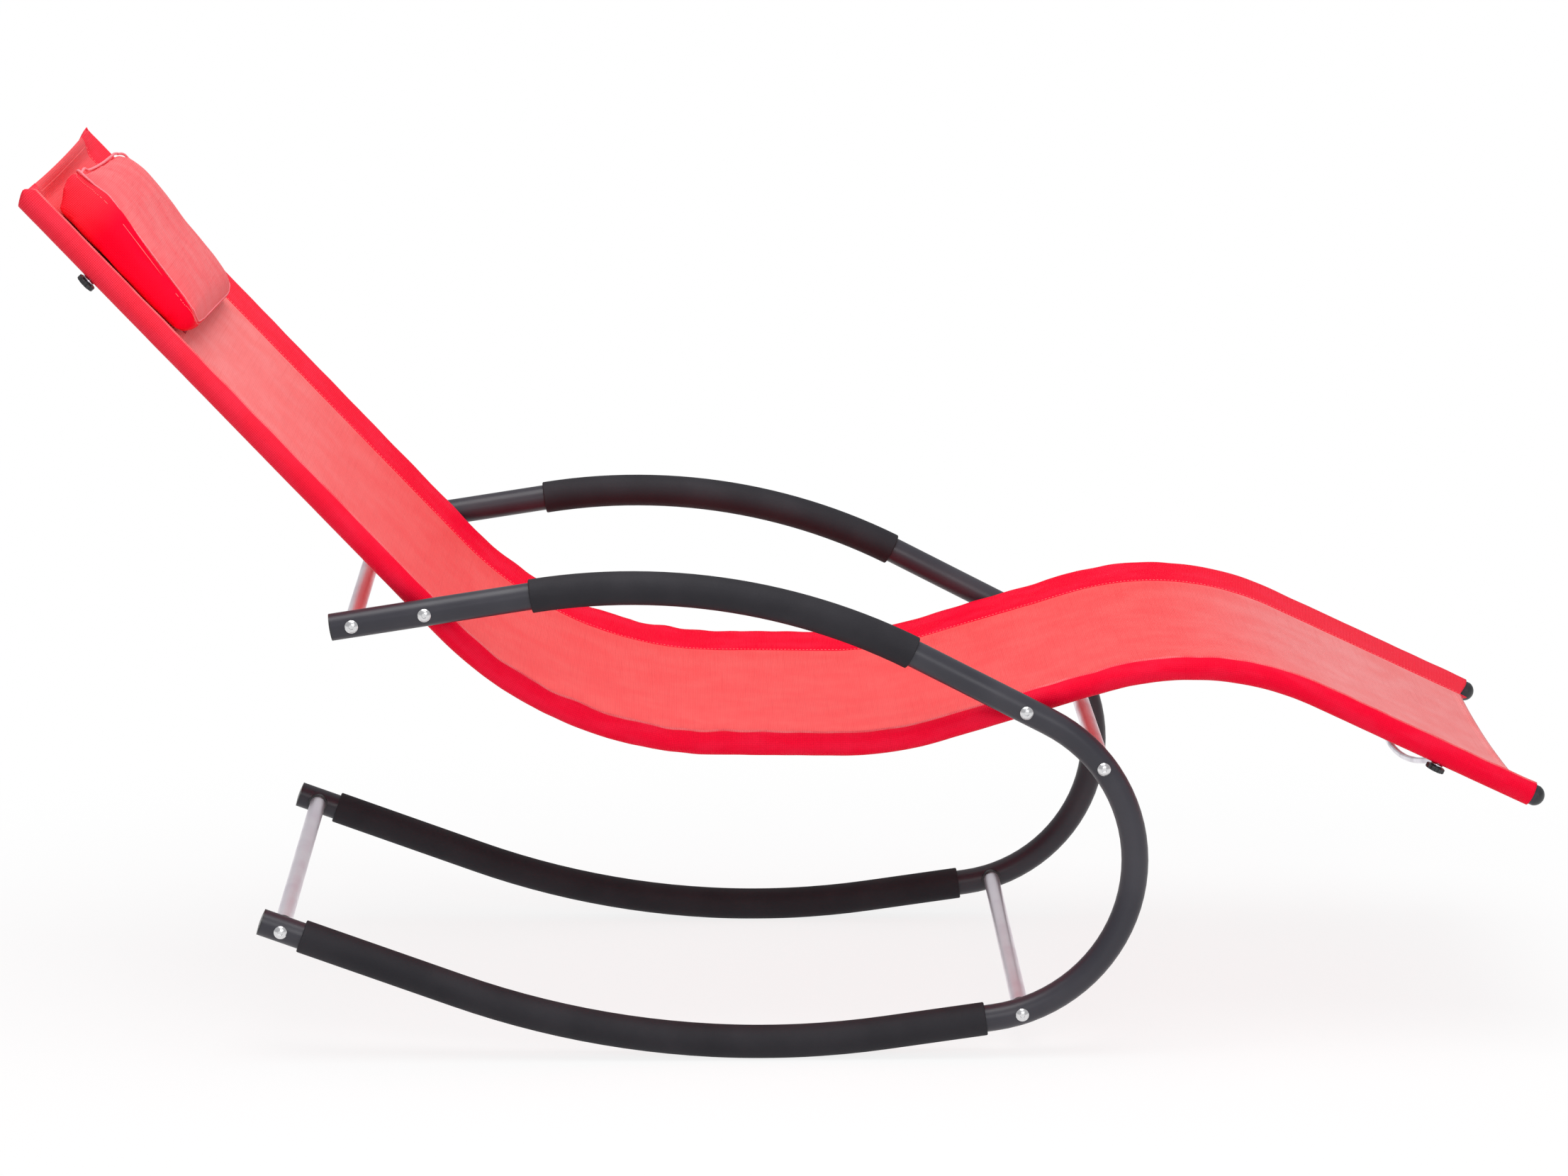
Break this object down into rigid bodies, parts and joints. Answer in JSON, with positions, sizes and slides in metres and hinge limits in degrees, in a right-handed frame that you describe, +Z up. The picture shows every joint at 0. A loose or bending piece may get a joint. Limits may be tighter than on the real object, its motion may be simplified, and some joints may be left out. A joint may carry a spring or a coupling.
{
  "type": "rocking chaise lounge",
  "caption": "Rocking lounger with a woven mesh sling on bent tube rails, side hoops that are armrest and rocker in one, and a headrest pillow.",
  "frame": {"origin": "on the floor under the centre of the bounding box", "axes": "+X from the head end to the foot end, +Y to the sitter's left, +Z up"},
  "size_m": [1.6036, 0.5968, 0.9306],
  "materials": {
    "hoop_paint": "satin powder coat, anthracite",
    "rail_paint": "satin powder coat, anthracite",
    "foam": "matte closed-cell foam",
    "bar_metal": "satin aluminium tube",
    "spreader_metal": "chrome-plated rod",
    "screw_metal": "bright zinc plate",
    "plug_plastic": "moulded, semi-gloss",
    "saddle_plastic": "moulded, matte",
    "knob_plastic": "moulded, gloss",
    "sling_fabric": "coated polyester mesh",
    "pillow_fabric": "coated polyester mesh over fill",
    "tape_fabric": "hook-and-loop tape"
  },
  "bodies": {
    "frame": {"crossbar_screws": "screw_metal", "foot_spreader": "spreader_metal", "front_lower_bar_inserts": "screw_metal", "front_lower_crossbar": "bar_metal", "front_lower_saddles": "saddle_plastic", "front_upper_bar_inserts": "screw_metal", "front_upper_crossbar": "bar_metal", "front_upper_saddles": "saddle_plastic", "head_spreader": "spreader_metal", "left_arm_end_plug": "plug_plastic", "left_arm_sleeve": "foam", "left_foot_plug": "plug_plastic", "left_head_plug": "plug_plastic", "left_rocker_end_plug": "plug_plastic", "left_rocker_sleeve": "foam", "left_seat_rail": "rail_paint", "left_side_hoop": "hoop_paint", "rear_lower_bar_inserts": "screw_metal", "rear_lower_crossbar": "bar_metal", "rear_lower_saddles": "saddle_plastic", "rear_upper_bar_inserts": "screw_metal", "rear_upper_crossbar": "bar_metal", "rear_upper_saddles": "saddle_plastic", "right_arm_end_plug": "plug_plastic", "right_arm_sleeve": "foam", "right_foot_plug": "plug_plastic", "right_head_plug": "plug_plastic", "right_rocker_end_plug": "plug_plastic", "right_rocker_sleeve": "foam", "right_seat_rail": "rail_paint", "right_side_hoop": "hoop_paint", "seat_rivet_nuts": "screw_metal", "seat_screws": "screw_metal", "seat_sling": "sling_fabric", "seat_spacers": "saddle_plastic", "sling_hook_tapes": "tape_fabric", "spreader_rivet_nuts": "screw_metal"},
    "headrest": {"headrest_pillow": "pillow_fabric", "pillow_loop_tapes": "tape_fabric"},
    "foot_left_knob": {"foot_left_knob": "knob_plastic"},
    "foot_right_knob": {"foot_right_knob": "knob_plastic"},
    "head_left_knob": {"head_left_knob": "knob_plastic"},
    "head_right_knob": {"head_right_knob": "knob_plastic"}
  },
  "joints": [
    {"name": "headrest_slide", "type": "slide", "parent": "frame", "child": "headrest", "axis": [0.6833, 0, -0.7302], "range_m": [-0.02, 0.04]},
    {"name": "head_right_knob_turn", "type": "hinge", "parent": "frame", "child": "head_right_knob", "pos_m": [-0.71747, -0.25, 0.84167], "axis": [0.7302, 0, 0.6833], "range_deg": [0, 360]},
    {"name": "head_left_knob_turn", "type": "hinge", "parent": "frame", "child": "head_left_knob", "pos_m": [-0.71747, 0.25, 0.84167], "axis": [0.7302, 0, 0.6833], "range_deg": [0, 360]},
    {"name": "foot_right_knob_turn", "type": "hinge", "parent": "frame", "child": "foot_right_knob", "pos_m": [0.69217, -0.25, 0.32219], "axis": [0.4274, 0, 0.9041], "range_deg": [0, 360]},
    {"name": "foot_left_knob_turn", "type": "hinge", "parent": "frame", "child": "foot_left_knob", "pos_m": [0.69217, 0.25, 0.32219], "axis": [0.4274, 0, 0.9041], "range_deg": [0, 360]}
  ]
}
